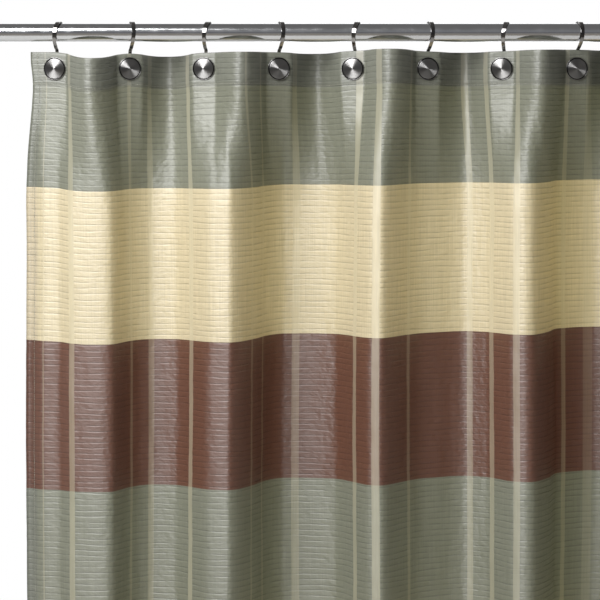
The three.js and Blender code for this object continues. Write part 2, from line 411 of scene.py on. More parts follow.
@dataclass(frozen=True)
class RibbedWeave(Finish):
    """Polyester woven in wide colour bands: weft ribs across, satin stripes down.

    The filament yarn gives a soft neutral gloss, and the thin cloth lets warm light through.
    """

    sage: str = "#808276"
    cream: str = "#cfc3a8"
    brown: str = "#694637"
    stripe: str = "#d6cfb8"
    band_ends: tuple[float, ...] = (203.8, 434.7, 656.9, 881.4, 1106.0, 1330.5, 1555.0)
    longest: float = 1900.0  # mm, past the end of the warp
    ior: float = 1.64  # of drawn polyester, between 1.54 across the filament and 1.72 along it
    gloss_spread: float = 0.72
    satin_share: float = 0.3  # of the stripe's colour in a stripe of full strength
    light_through: float = 0.3
    through_gamma: float = 1.35
    through_tint: tuple[float, float, float] = (1.0, 0.93, 0.4)
    relief: float = 0.7 * MM
    rib_pitch: float = 8.6 * MM
    rib_length: float = 0.22  # of the pattern's scale down the cloth, so ribs run far across
    stripes: tuple[WarpStripe, ...] = (
        WarpStripe(22.0, 23.4, 0.8),
        WarpStripe(61.5, 70.5, 1.0),
        WarpStripe(191.0, 196.5, 0.6),
        WarpStripe(228.5, 239.0, 0.65),
        WarpStripe(313.0, 324.0, 1.1),
        WarpStripe(435.5, 439.5, 0.6),
        WarpStripe(468.0, 472.5, 0.6),
        WarpStripe(532.0, 545.5, 0.65),
        WarpStripe(670.0, 681.0, 1.0),
        WarpStripe(717.0, 728.5, 1.0),
        WarpStripe(784.5, 790.5, 0.6),
        WarpStripe(896.0, 907.5, 0.8),
        WarpStripe(943.5, 955.5, 1.0),
        WarpStripe(1003.5, 1013.5, 0.9),
        WarpStripe(1117.5, 1124.0, 0.7),
        WarpStripe(1151.0, 1164.0, 0.35),
        WarpStripe(1232.0, 1236.0, 0.6),
        WarpStripe(1300.0, 1311.0, 1.0),
        WarpStripe(1352.0, 1356.0, 0.6),
        WarpStripe(1408.0, 1420.0, 0.7),
        WarpStripe(1497.0, 1507.0, 1.0),
        WarpStripe(1561.0, 1565.0, 0.6),
        WarpStripe(1625.0, 1637.0, 0.7),
        WarpStripe(1701.0, 1711.0, 1.0),
        WarpStripe(1752.0, 1755.0, 0.7),
    )

    def shade(self, tree: bpy.types.NodeTree) -> bpy.types.NodeSocket:
        """Build the weave from the cloth's flat map, in metres across and along the warp.

        Args:
            tree: The material's node tree.

        Returns:
            The shader's output socket.
        """
        flat = add_node(tree, "ShaderNodeUVMap", uv_map=FLAT_MAP).outputs[0]
        parts = add_node(tree, "ShaderNodeSeparateXYZ", {0: flat})
        across, weft = parts.outputs["X"], parts.outputs["Y"]
        stripes = self.stripe_mask(tree, across)
        # The ribs give the bump's height and a factor of painted shade and highlight for the
        # colour.
        height, rib_shade_factor = self.ribs(tree, across, weft, stripes)
        base = self.tones(tree, across, weft, stripes, rib_shade_factor)
        bump = add_node(
            tree, "ShaderNodeBump", {"Height": height, "Strength": 1.0, "Distance": self.relief}
        ).outputs[0]
        tangent = add_node(tree, "ShaderNodeTangent", direction_type="UV_MAP", uv_map=FLAT_MAP)
        # The satin is smoother than the ground, and the grooves between ribs are rougher.
        smooth = add_node(
            tree, "ShaderNodeMapRange", {"Value": stripes, "To Min": 0.68, "To Max": 0.6}
        )
        rough = add_node(
            tree,
            "ShaderNodeMath",
            {0: rib_shade_factor, 1: -0.16, 2: smooth.outputs[0]},
            operation="MULTIPLY_ADD",
        )
        face = add_node(
            tree,
            "ShaderNodeBsdfPrincipled",
            {
                "Base Color": base,
                "Roughness": rough.outputs[0],
                "IOR": self.ior,
                "Specular IOR Level": 1.0,
                "Anisotropic": self.gloss_spread,
                "Anisotropic Rotation": GRAIN_ALONG_MAP,
                "Tangent": tangent.outputs[0],
                "Sheen Weight": 0.08,
                "Sheen Roughness": 0.4,
                "Normal": bump,
            },
        )
        # Light that comes through has met the dyed yarn twice, so it is deeper and warmer.
        deeper = add_node(tree, "ShaderNodeGamma", {"Color": base, "Gamma": self.through_gamma})
        through = add_node(
            tree,
            "ShaderNodeVectorMath",
            {0: deeper.outputs[0], 1: self.through_tint},
            operation="MULTIPLY",
        )
        glow = add_node(tree, "ShaderNodeBsdfTranslucent", {"Color": through.outputs[0]})
        return add_node(
            tree,
            "ShaderNodeMixShader",
            {0: self.light_through, 1: face.outputs[0], 2: glow.outputs[0]},
        ).outputs[0]

    def stripe_mask(
        self, tree: bpy.types.NodeTree, across: bpy.types.NodeSocket
    ) -> bpy.types.NodeSocket:
        """Mark the satin stripes.

        Args:
            tree: The material's node tree.
            across: The distance across the flat cloth, in metres.

        Returns:
            A socket that is each stripe's strength on it, and 0 between stripes.
        """
        total: Any = 0.0
        for stripe in self.stripes:
            inside = add_node(
                tree,
                "ShaderNodeMath",
                {
                    0: across,
                    1: (stripe.start + stripe.end) / 2 * MM,
                    2: (stripe.end - stripe.start) / 2 * MM,
                },
                operation="COMPARE",
            )
            total = add_node(
                tree,
                "ShaderNodeMath",
                {0: inside.outputs[0], 1: stripe.strength, 2: total},
                operation="MULTIPLY_ADD",
            ).outputs[0]
        return total

    def ribs(
        self,
        tree: bpy.types.NodeTree,
        across: bpy.types.NodeSocket,
        weft: bpy.types.NodeSocket,
        stripes: bpy.types.NodeSocket,
    ) -> tuple[bpy.types.NodeSocket, bpy.types.NodeSocket]:
        """Build the irregular weft ribs and the fine puckers between them.

        Args:
            tree: The material's node tree.
            across: The distance across the flat cloth, in metres.
            weft: The distance down the cloth along the weft's slope, in metres.
            stripes: The mask of the satin stripes, which have no ribs.

        Returns:
            The height for the bump, and the factor that puts painted shade in the grooves and a
            painted highlight on the ribs' tops.
        """
        place = flat_scale(tree, across, weft, self.rib_length, 1.0)
        wave = add_node(
            tree,
            "ShaderNodeTexWave",
            {
                "Vector": place,
                "Scale": WAVE_PERIOD / self.rib_pitch,
                "Distortion": 3.0,
                "Detail": 2.0,
                "Detail Scale": 0.9,
                "Detail Roughness": 0.55,
            },
            bands_direction="Y",
            wave_profile="SAW",
        )
        profile = add_node(
            tree,
            "ShaderNodeValToRGB",
            {"Fac": wave.outputs["Fac"]},
            stops=(
                (0.0, grey(0.15)),
                (0.1, grey(0.0)),
                (0.28, grey(1.0)),
                (0.55, grey(0.8)),
                (0.95, grey(0.62)),
            ),
        )
        # Patches of 24 mm by 17 mm in which the ribs are deeper or shallower.
        patches = add_node(
            tree,
            "ShaderNodeTexNoise",
            {"Vector": flat_scale(tree, across, weft, 42.0, 60.0), "Scale": 1.0, "Detail": 2.0},
        )
        depth = add_node(
            tree,
            "ShaderNodeMapRange",
            {
                "Value": patches.outputs["Fac"],
                "From Min": 0.34,
                "From Max": 0.56,
                "To Min": 0.2,
                "To Max": 1.1,
            },
        )
        plain = add_node(
            tree, "ShaderNodeMath", {0: 1.0, 1: stripes}, operation="SUBTRACT", use_clamp=True
        ).outputs[0]
        amount = add_node(
            tree, "ShaderNodeMath", {0: depth.outputs[0], 1: plain}, operation="MULTIPLY"
        ).outputs[0]
        level = 0.68  # of the cloth where there are no ribs
        rib = add_node(
            tree, "ShaderNodeMix", {0: amount, 2: level, 3: profile.outputs[0]}, data_type="FLOAT"
        ).outputs[0]
        # Puckers of 10 mm by 7 mm where the ground weave shrinks against the satin.
        fine = add_node(
            tree,
            "ShaderNodeTexNoise",
            {"Vector": flat_scale(tree, across, weft, 95.0, 150.0), "Scale": 1.0, "Detail": 2.0},
        )
        puckers = add_node(
            tree, "ShaderNodeMath", {0: fine.outputs["Fac"], 1: plain}, operation="MULTIPLY"
        ).outputs[0]
        height = add_node(
            tree, "ShaderNodeMath", {0: puckers, 1: 1.5, 2: rib}, operation="MULTIPLY_ADD"
        ).outputs[0]
        # Painted shade and highlight: the colour goes from 0.74 in the grooves to 1.06 on the
        # ribs' tops.
        tone = add_node(
            tree, "ShaderNodeMapRange", {"Value": rib, "To Min": 0.74, "To Max": 1.06}
        ).outputs[0]
        return height, tone

    def tones(
        self,
        tree: bpy.types.NodeTree,
        across: bpy.types.NodeSocket,
        weft: bpy.types.NodeSocket,
        stripes: bpy.types.NodeSocket,
        rib_shade_factor: bpy.types.NodeSocket,
    ) -> bpy.types.NodeSocket:
        """Build the bands' colours, with stripes, painted shade in the rib grooves and uneven
        yarn.

        Args:
            tree: The material's node tree.
            across: The distance across the flat cloth, in metres.
            weft: The distance down the cloth along the weft's slope, in metres.
            stripes: The mask of the satin stripes.
            rib_shade_factor: The painted shade in the rib grooves and painted highlight on the
                ribs' tops.

        Returns:
            The base colour.
        """
        share = add_node(
            tree, "ShaderNodeMath", {0: weft, 1: self.longest * MM}, operation="DIVIDE"
        ).outputs[0]
        order = (self.sage, self.cream, self.brown)
        starts = (0.0,) + self.band_ends
        bands = add_node(
            tree,
            "ShaderNodeValToRGB",
            {"Fac": share},
            stops=[
                (start / self.longest, linear(order[index % len(order)]))
                for index, start in enumerate(starts)
            ],
        )
        bands.color_ramp.interpolation = "CONSTANT"
        satin = add_node(
            tree,
            "ShaderNodeMath",
            {0: stripes, 1: self.satin_share},
            operation="MULTIPLY",
            use_clamp=True,
        )
        striped = add_node(
            tree,
            "ShaderNodeMix",
            {0: satin.outputs[0], 6: bands.outputs[0], 7: linear(self.stripe)},
            data_type="RGBA",
        ).outputs[2]
        # Warp yarns 2 mm apart and 80 mm long streaks, drawn coarser than the real 0.2 mm.
        yarn = add_node(
            tree,
            "ShaderNodeTexNoise",
            {"Vector": flat_scale(tree, across, weft, 500.0, 12.0), "Scale": 1.0, "Detail": 3.0},
        )
        streaks = add_node(
            tree,
            "ShaderNodeMapRange",
            {
                "Value": yarn.outputs["Fac"],
                "From Min": 0.3,
                "From Max": 0.7,
                "To Min": 0.93,
                "To Max": 1.06,
            },
        )
        # The yarn streaks and the ribs' painted shade and highlight scale the colour together.
        factor = add_node(
            tree, "ShaderNodeMath", {0: streaks.outputs[0], 1: rib_shade_factor}, operation="MULTIPLY"
        )
        return add_node(
            tree,
            "ShaderNodeVectorMath",
            {0: striped, "Scale": factor.outputs[0]},
            operation="SCALE",
        ).outputs[0]


def flat_scale(
    tree: bpy.types.NodeTree,
    across: bpy.types.NodeSocket,
    weft: bpy.types.NodeSocket,
    across_scale: float,
    down_scale: float,
) -> bpy.types.NodeSocket:
    """Stretch the cloth's flat map by its own amount each way.

    Args:
        tree: The material's node tree.
        across: The distance across the flat cloth, in metres.
        weft: The distance down it, in metres.
        across_scale: Features per metre across.
        down_scale: Features per metre down.

    Returns:
        A vector socket for a texture with scale 1.
    """
    place = add_node(tree, "ShaderNodeCombineXYZ", {0: across, 1: weft}).outputs[0]
    return add_node(
        tree,
        "ShaderNodeVectorMath",
        {0: place, 1: (across_scale, down_scale, 1.0)},
        operation="MULTIPLY",
    ).outputs[0]


ROD_STEEL = PolishedSteel("stainless_steel_polished_tube", roughness=0.13)
STRAP_STEEL = PolishedSteel("steel_polished_strap", colour="#8b8987", roughness=0.08)
DISC_STEEL = TurnedSteel("steel_lathe_turned")
SCREW_STEEL = PolishedSteel("steel_zinc_plated", colour="#a9abad", roughness=0.35)
WEAVE = RibbedWeave("polyester_ribbed_weave_in_bands")
SEWING_THREAD = Thread("polyester_spun_thread")
RUBBER = Moulded("rubber_moulded_grey", colour="#8b8d8f", roughness=0.62, ior=1.52)
NYLON = Moulded("nylon_moulded_natural", colour="#e4e1d8", roughness=0.45, ior=1.53)
FLOOR_PAINT = Moulded("paint_matt_white", colour="#eeedea", roughness=0.85, grain=4 * MM)


# ---- mesh helpers ----
def new_object(
    name: str,
    mesh: bmesh.types.BMesh,
    finish: Finish,
    body: str,
    crease: float | None = None,
    stands_for: str | None = None,
) -> bpy.types.Object:
    """Turn a bmesh into a piece that rides on a body.

    Args:
        name: The piece's name.
        mesh: The bmesh, in metres; it is freed.
        finish: The surface finish.
        body: The body that the piece moves with.
        crease: The angle in degrees from which an edge is sharp; without it none is.
        stands_for: The CAD node that the piece replaces, if any.

    Returns:
        The new object.
    """
    data = bpy.data.meshes.new(name)
    for face in mesh.faces:
        face.smooth = True
    mesh.to_mesh(data)
    mesh.free()
    data.materials.append(finish.material())
    made = bpy.data.objects.new(name, data)
    bpy.context.collection.objects.link(made)
    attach(made, body)
    if crease is not None:
        crease_by_angle(made, crease)
    if stands_for is not None:
        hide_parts(stands_for)
    return made


def crease_by_angle(made: bpy.types.Object, degrees: float) -> None:
    """Mark a mesh's sharp edges, so that its shading breaks there.

    Args:
        made: The object, whose mesh is changed.
        degrees: The angle between two faces from which their edge is sharp.
    """
    limit = math.radians(degrees)
    work = bmesh.new()
    work.from_mesh(made.data)
    for edge in work.edges:
        edge.smooth = len(edge.link_faces) == 2 and edge.calc_face_angle(0.0) < limit
    work.to_mesh(made.data)
    work.free()


def lathe(
    profile: Sequence[tuple[float, float]],
    steps: int,
    place: Matrix,
    closed: bool = False,
) -> bmesh.types.BMesh:
    """Turn a profile about the local Z axis.

    Args:
        profile: Radius and height of each point, in mm.
        steps: Segments round the axis.
        place: The matrix that puts the turned mesh in the frame, in metres.
        closed: Whether the profile's last point joins its first, as for a ring.

    Returns:
        The bmesh, in metres.
    """
    work = bmesh.new()
    layer = work.loops.layers.uv.new(TURN_MAP)
    rings: list[list[bmesh.types.BMVert]] = []
    for radius, height in profile:
        count = 1 if radius < 1e-6 else steps
        ring = []
        for step in range(count):
            angle = 2 * math.pi * step / steps
            local = Vector((radius * math.cos(angle), radius * math.sin(angle), height)) * MM
            ring.append(work.verts.new(place @ local))
        rings.append(ring)
    pairs = list(zip(range(len(rings) - 1), range(1, len(rings))))
    if closed:
        pairs.append((len(rings) - 1, 0))
    lengths = [0.0]
    for (r0, h0), (r1, h1) in zip(profile, profile[1:]):
        lengths.append(lengths[-1] + math.hypot(r1 - r0, h1 - h0) * MM)
    for low, high in pairs:
        for step in range(steps):
            turn = (step, step + 1)
            lower = [(rings[low][t % len(rings[low])], low, t) for t in turn]
            upper = [(rings[high][t % len(rings[high])], high, t) for t in turn]
            if len(rings[low]) == 1:
                corners = [lower[0], upper[1], upper[0]]
            elif len(rings[high]) == 1:
                corners = [lower[0], lower[1], upper[0]]
            else:
                corners = [lower[0], lower[1], upper[1], upper[0]]
            face = work.faces.new([corner[0] for corner in corners])
            for loop, (_, ring_index, t) in zip(face.loops, corners):
                loop[layer].uv = (t / steps * 100 * MM, lengths[ring_index])
    bmesh.ops.recalc_face_normals(work, faces=work.faces)
    return work


def rounded(
    corners: Sequence[tuple[float, float]], radius: float, steps: int = 4
) -> list[tuple[float, float]]:
    """Round the inner corners of a profile.

    Args:
        corners: The profile's points, in mm.
        radius: How far from each corner its rounding starts, at most.
        steps: Points on each rounding.

    Returns:
        The profile with a curve at each inner corner.
    """
    points = [Vector(corner) for corner in corners]
    made = [points[0]]
    for before, corner, after in zip(points, points[1:], points[2:]):
        back, ahead = before - corner, after - corner
        reach = min(radius, back.length * 0.45, ahead.length * 0.45)
        start = corner + back.normalized() * reach
        end = corner + ahead.normalized() * reach
        for step in range(steps + 1):
            t = step / steps
            made.append(start * (1 - t) ** 2 + corner * 2 * t * (1 - t) + end * t**2)
    made.append(points[-1])
    return [(point.x, point.y) for point in made]


def sweep(
    path: Sequence[Vector],
    sides: Sequence[Vector],
    section: Sequence[tuple[float, float]],
    scale: Sequence[tuple[float, float]] | None = None,
) -> bmesh.types.BMesh:
    """Sweep a closed section along a path, with capped ends.

    Args:
        path: The path's points, in metres.
        sides: At each point, the direction of the section's first axis.
        section: The section's points, in metres, round its middle.
        scale: At each point, the section's scale along each axis.

    Returns:
        The bmesh, in metres.
    """
    work = bmesh.new()
    layer = work.loops.layers.uv.new(TURN_MAP)
    rings = []
    for index, point in enumerate(path):
        ahead = path[min(index + 1, len(path) - 1)] - path[max(index - 1, 0)]
        side = sides[index].normalized()
        up = side.cross(ahead).normalized()
        wide, tall = scale[index] if scale else (1.0, 1.0)
        corners = [point + side * over * wide + up * out * tall for over, out in section]
        rings.append([work.verts.new(corner) for corner in corners])
    count = len(section)
    for row, (low, high) in enumerate(zip(rings, rings[1:])):
        for step in range(count):
            after = (step + 1) % count
            face = work.faces.new([low[step], low[after], high[after], high[step]])
            turns = (step, step + 1, step + 1, step)
            for loop, turn, line in zip(face.loops, turns, (row, row, row + 1, row + 1)):
                loop[layer].uv = (turn / count * 10 * MM, line * MM)
    work.faces.new(list(reversed(rings[0])))
    work.faces.new(rings[-1])
    bmesh.ops.recalc_face_normals(work, faces=work.faces)
    return work


def joint_row(name: str) -> dict[str, Any]:
    """Give a joint's row in the record."""
    return next(row for row in frame["record"]["behaviour"]["joints"] if row["name"] == name)


def smooth_path(points: Sequence[Vector], steps: int) -> list[Vector]:
    """Run a Catmull-Rom curve through points.

    Args:
        points: The points it passes through.
        steps: Pieces between two of them.

    Returns:
        The curve's points.
    """
    made = []
    for index in range(len(points) - 1):
        before = points[max(index - 1, 0)]
        start, end = points[index], points[index + 1]
        after = points[min(index + 2, len(points) - 1)]
        for step in range(steps):
            t = step / steps
            made.append(
                0.5
                * (
                    2 * start
                    + (end - before) * t
                    + (2 * before - 5 * start + 4 * end - after) * t**2
                    + (3 * start - before - 3 * end + after) * t**3
                )
            )
    made.append(points[-1])
    return made


# ---- the rod ----
@dataclass
class TensionRod:
    """The telescopic rod with its pads, its step collar, its lock and its spring, in mm."""

    tube_wall: float = 1.0
    pad_lip: float = 16.5  # radius
    pad_face_depth: float = 4.0  # of a pad's closed end
    grip_rings: tuple[float, ...] = (5.0, 9.0, 13.0, 17.0)  # radii, on the wall's side
    lip_grooves: tuple[float, ...] = (15.0, 19.0, 23.0)  # from the wall
    outer_pad_bore: float = 14.3  # over the outer tube
    inner_pad_bore: float = 12.8
    collar_bore: float = 12.8
    coil_radius: float = 8.5
    coil_turns: int = 7
    wire: float = 1.2  # radius

    def along_x(self, start: float) -> Matrix:
        """Put a lathe's Z axis along X, from this x in mm."""
        return Matrix.Translation((start * MM, 0, 0)) @ Matrix.Rotation(math.pi / 2, 4, "Y")

    def tube(self, node: str, body: str) -> bpy.types.Object:
        """Remake a tube with rolled ends.

        Args:
            node: The CAD node that gives its radius and its ends.
            body: The body that it moves with.

        Returns:
            The tube.
        """
        low, high = (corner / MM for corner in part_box(node))
        outer, length = high.y, high.x - low.x
        inner, wall = outer - self.tube_wall, self.tube_wall
        stations = max(2, int(length / 40))
        run = [length * step / stations for step in range(1, stations)]
        near = [(inner, 0.25), (inner + wall * 0.25, 0.0), (outer - wall * 0.3, 0.0)]
        outside = [(outer, 0.4)] + [(outer, at) for at in run] + [(outer, length - 0.4)]
        far = [(outer - wall * 0.3, length), (inner + wall * 0.25, length), (inner, length - 0.25)]
        inside = [(inner, at) for at in reversed(run)]
        return new_object(
            node + "_polished",
            lathe(near + outside + far + inside, 96, self.along_x(low.x), closed=True),
            ROD_STEEL,
            body,
            crease=40,
            stands_for=node,
        )

    def pad(self, node: str, bore: float, body: str, faces_left: bool) -> bpy.types.Object:
        """Remake a rubber cup with a soft lip, grip rings and a ribbed wall face.

        Args:
            node: The CAD node that it stands for.
            bore: The radius of its bore, in mm.
            body: The body that it moves with.
            faces_left: Whether its wall face looks to -X.

        Returns:
            The pad.
        """
        low, high = (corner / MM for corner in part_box(node))
        wide, length, lip = high.y, high.x - low.x, self.pad_lip
        face = [(0.0, 0.6)]
        for ring in self.grip_rings:
            face += [(ring - 1.2, 0.6), (ring - 0.9, 0.0), (ring + 0.9, 0.0), (ring + 1.2, 0.6)]
        face += [(wide - 0.6, 0.5), (wide, 1.2), (wide, 3.4)]
        taper = [(lip + 2.2, 7.0), (lip + 1.0, 10.5)]
        for groove in self.lip_grooves:
            taper += [
                (lip + 0.7, groove - 1.3),
                (lip + 0.1, groove - 0.7),
                (lip + 0.1, groove + 0.7),
                (lip + 0.5, groove + 1.3),
            ]
        mouth = [(lip, length - 1.5), (lip - 0.5, length), (bore + 0.4, length)]
        depth = self.pad_face_depth
        inside = [(bore, length - 0.5), (bore, depth), (0.0, depth)]
        profile = rounded(face + taper + mouth + inside, 0.5, 2)
        turn = self.along_x(low.x)
        if not faces_left:
            turn = Matrix.Translation((high.x * MM, 0, 0)) @ Matrix.Rotation(-math.pi / 2, 4, "Y")
        return new_object(
            node + "_moulded",
            lathe(profile, 72, turn),
            RUBBER,
            body,
            crease=50,
            stands_for=node,
        )

    def collar(self) -> bpy.types.Object:
        """Remake the nylon collar at the step with rounded shoulders.

        Returns:
            The collar.
        """
        low, high = (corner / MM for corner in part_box("step_collar"))
        outer, length, inner = high.y, high.x - low.x, self.collar_bore
        profile = [
            (inner, 0.4),
            (inner + 0.3, 0.0),
            (outer - 0.3, 0.0),
            (outer, 0.35),
            (outer, length - 5.0),
            (outer - 0.35, length - 2.4),
            (outer - 1.0, length - 0.5),
            (outer - 1.3, length),
            (inner + 0.2, length),
            (inner, length - 0.3),
        ]
        return new_object(
            "step_collar_moulded",
            lathe(profile, 72, self.along_x(low.x), closed=True),
            NYLON,
            "rod",
            crease=50,
            stands_for="step_collar",
        )

    def spring(self) -> bpy.types.Object:
        """Wind the spring behind the sprung pad, which shortens as the pad presses in.

        Returns:
            The spring.
        """
        low, high = (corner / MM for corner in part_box("tension_spring"))
        start, end = low.x + self.wire, high.x - self.wire
        steps = self.coil_turns * 28
        path, sides = [], []
        for step in range(steps + 1):
            t = step / steps
            angle = 2 * math.pi * self.coil_turns * t
            out = Vector((0, math.cos(angle), math.sin(angle)))
            path.append((Vector((start + (end - start) * t, 0, 0)) + out * self.coil_radius) * MM)
            sides.append(out)
        turns = [2 * math.pi * corner / 10 for corner in range(10)]
        wire = self.wire * MM
        section = [(wire * math.cos(turn), wire * math.sin(turn)) for turn in turns]
        made = new_object(
            "tension_spring_wound",
            sweep(path, sides, section),
            SCREW_STEEL,
            "rod_inner",
            crease=60,
            stands_for="tension_spring",
        )
        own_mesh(made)
        return made

    def dress_hidden(self) -> None:
        """Give the pieces inside the tubes, which keep their CAD shapes, their finishes."""
        finishes = {
            "lock_plug": NYLON,
            "lock_insert": NYLON,
            "spring_stop": NYLON,
            "end_plunger": NYLON,
            "lock_screw": SCREW_STEEL,
        }
        for node, finish in finishes.items():
            data = frame["nodes"][node].data
            data.materials.clear()
            data.materials.append(finish.material())

    def build(self) -> list[bpy.types.Object]:
        """Build the rod.

        Returns:
            Its new pieces.
        """
        self.dress_hidden()
        return [
            self.tube("rod_outer_tube", "rod"),
            self.tube("rod_inner_tube", "rod_inner"),
            self.pad("left_wall_pad", self.outer_pad_bore, "rod", faces_left=True),
            self.pad("right_wall_pad", self.inner_pad_bore, "rod_end", faces_left=False),
            self.collar(),
            self.spring(),
        ]


# ---- the hooks ----
@dataclass
class CurtainHook:
    """One hook: a polished strap over the rod, a turned disc in front, a stud through both.

    Sizes are in mm.
    """

    index: int
    yaw: float  # about the vertical, in radians
    place_x: float  # in mm
    hole_z: float  # of the stud's axis, in mm
    strap_width: float = 6.4
    strap_thickness: float = 1.6
    arch_radius: float = 18.0
    arch_centre: float = -1.9
    leg: float = -2.8  # forward place of the strap's leg
    leans: tuple[float, float] = (0.1, 0.058)  # to the right at its top, by turns, mm per mm
    stitched_half: tuple[float, float] = (6.3, 2.9)  # of the buttonhole inside its stitches
    stitch_count: int = 44  # round the buttonhole
    stitch_bite: float = 1.7
    stitch_half: float = 0.34

    @property
    def number(self) -> str:
        """Give the hook's two-digit number."""
        return f"{self.index + 1:02d}"

    @property
    def body(self) -> str:
        """Give the body that the hook moves with; the first one stays with the curtain."""
        return "curtain" if self.index == 0 else f"hook_{self.number}"

    @property
    def place(self) -> Matrix:
        """Give the matrix from the hook's own frame to the object's."""
        turn = Matrix.Rotation(self.yaw, 4, "Z")
        return Matrix.Translation((self.place_x * MM, 0, 0)) @ turn

    def strap_line(self) -> list[Vector]:
        """Give the strap's middle line in the hook's frame, in metres.

        Returns:
            Points from its low end behind the rod to the foot of its leg.
        """
        line = [(-self.arch_radius - 1.2, self.arch_centre - 9.6)]
        for degrees in range(-105, 150, 15):
            angle = math.radians(degrees)
            line.append(
                (
                    self.arch_radius * math.sin(angle),
                    self.arch_centre + self.arch_radius * math.cos(angle),
                )
            )
        line += [(4.6, -22.0), (self.leg + 1.4, -26.1), (self.leg, -30.3)]
        line += [(self.leg, -44.0), (self.leg, self.hole_z - 5)]
        points = [
            Vector((self.leans[self.index % 2] * (up - self.hole_z), -forward, up)) * MM
            for forward, up in line
        ]
        return smooth_path(points, 4)

    def strap(self) -> bpy.types.Object:
        """Bend the strap, with its outer face domed and its width tapering to the leg.

        Returns:
            The strap.
        """
        line = self.strap_line()
        half, thick = self.strap_width / 2 * MM, self.strap_thickness / 2 * MM
        section = []
        for step in range(9):
            angle = math.pi * step / 8
            section.append((half * math.cos(angle), thick * (0.1 + 0.9 * math.sin(angle))))
        section += [(-half * 0.94, -thick * 0.9), (0.0, -thick), (half * 0.94, -thick * 0.9)]
        # A fifth narrower from the middle of its length to the leg, and rounded at both tips.
        scale = []
        for step in range(len(line)):
            t = step / (len(line) - 1)
            tip = min(1.0, 0.72 + 9 * t) * min(1.0, 0.8 + 9 * (1 - t))
            scale.append(((1.0 - 0.2 * max(0.0, (t - 0.45) / 0.55)) * tip, 1.0))
        placed = [self.place @ point for point in line]
        across = (self.place.to_3x3() @ Vector((1, 0, 0))).normalized()
        return new_object(
            f"hook_{self.number}_strap",
            sweep(placed, [across] * len(placed), section, scale),
            STRAP_STEEL,
            self.body,
            crease=48,
            stands_for=f"hook_{self.number}_strip",
        )

    def turned(self, back: float) -> Matrix:
        """Put a lathe's Z axis forward at the buttonhole, from this forward place in mm."""
        at = Matrix.Translation((0, -back * MM, self.hole_z * MM))
        return self.place @ at @ Matrix.Rotation(math.pi / 2, 4, "X")

    def disc(self) -> bpy.types.Object:
        """Turn the disc: a rounded rim, a fine groove and a shallow cone to its point.

        Returns:
            The disc.
        """
        rim = [(0.0, 0.0), (15.9, 0.0), (16.7, 0.2), (17.0, 0.55), (16.98, 0.95), (16.7, 1.25)]
        groove = [(16.45, 1.3), (16.25, 1.1), (16.15, 0.4), (15.15, 0.35), (15.05, 1.2)]
        cone = [(14.9 - 1.45 * step, 1.45 + 0.287 * step) for step in range(11)]
        return new_object(
            f"hook_{self.number}_cone_disc",
            lathe(rim + groove + cone + [(0.0, 4.36)], 96, self.turned(2.0)),
            DISC_STEEL,
            self.body,
            crease=60,
            stands_for=f"hook_{self.number}_disc",
        )

    def stud(self) -> bpy.types.Object:
        """Turn the stud, with its domed head riveted behind the strap.

        Returns:
            The stud.
        """
        head = [(0.0, -5.35), (1.4, -5.3), (2.6, -5.05), (3.4, -4.55), (3.6, -4.1), (3.5, -3.9)]
        shank = [(2.0, -3.9), (2.0, 1.6), (1.8, 1.7), (0.0, 1.7)]
        return new_object(
            f"hook_{self.number}_rivet",
            lathe(head + shank, 32, self.turned(0.0)),
            DISC_STEEL,
            self.body,
            crease=40,
            stands_for=f"hook_{self.number}_stud",
        )

    def buttonhole_edge(self) -> bpy.types.Object:
        """Sew the raised satin edge round the buttonhole, on the cloth's back.

        Returns:
            The ring of stitches.
        """
        (half_wide, half_tall), bite = self.stitched_half, self.stitch_bite
        foot = 1.1  # behind the cloth's middle, where each stitch leaves its back layer
        work = bmesh.new()
        for step in range(self.stitch_count):
            angle = 2 * math.pi * step / self.stitch_count
            out = Vector((math.cos(angle), 0, math.sin(angle)))
            inner = Vector((half_wide * out.x, foot, half_tall * out.z + self.hole_z))
            outer = inner + Vector((bite * out.x, 0, bite * out.z))
            along = Vector((-out.z, 0, out.x)) * self.stitch_half
            grid = []
            for share, lift in ((0.0, 0.05), (0.25, 0.45), (0.75, 0.45), (1.0, 0.05)):
                middle = inner.lerp(outer, share)
                row = (middle - along, middle + Vector((0, lift, 0)), middle + along)
                grid.append([work.verts.new(self.place @ (point * MM)) for point in row])
            for low, high in zip(grid, grid[1:]):
                for side in range(2):
                    work.faces.new([low[side], low[side + 1], high[side + 1], high[side]])
                work.faces.new([low[2], low[0], high[0], high[2]])
            work.faces.new(grid[0])
            work.faces.new(list(reversed(grid[-1])))
        bmesh.ops.recalc_face_normals(work, faces=work.faces)
        return new_object(
            f"hook_{self.number}_buttonhole_edge",
            work,
            SEWING_THREAD,
            self.body,
        )

    def build(self) -> list[bpy.types.Object]:
        """Build the hook.

        Returns:
            Its strap, disc, stud and buttonhole edge.
        """
        return [self.strap(), self.disc(), self.stud(), self.buttonhole_edge()]


# ---- the cloth ----
def smoothstep(value: Any, low: float, high: float) -> Any:
    """Rise smoothly from 0 at low to 1 at high."""
    t = np.clip((value - low) / (high - low), 0.0, 1.0)
    return t * t * (3 - 2 * t)


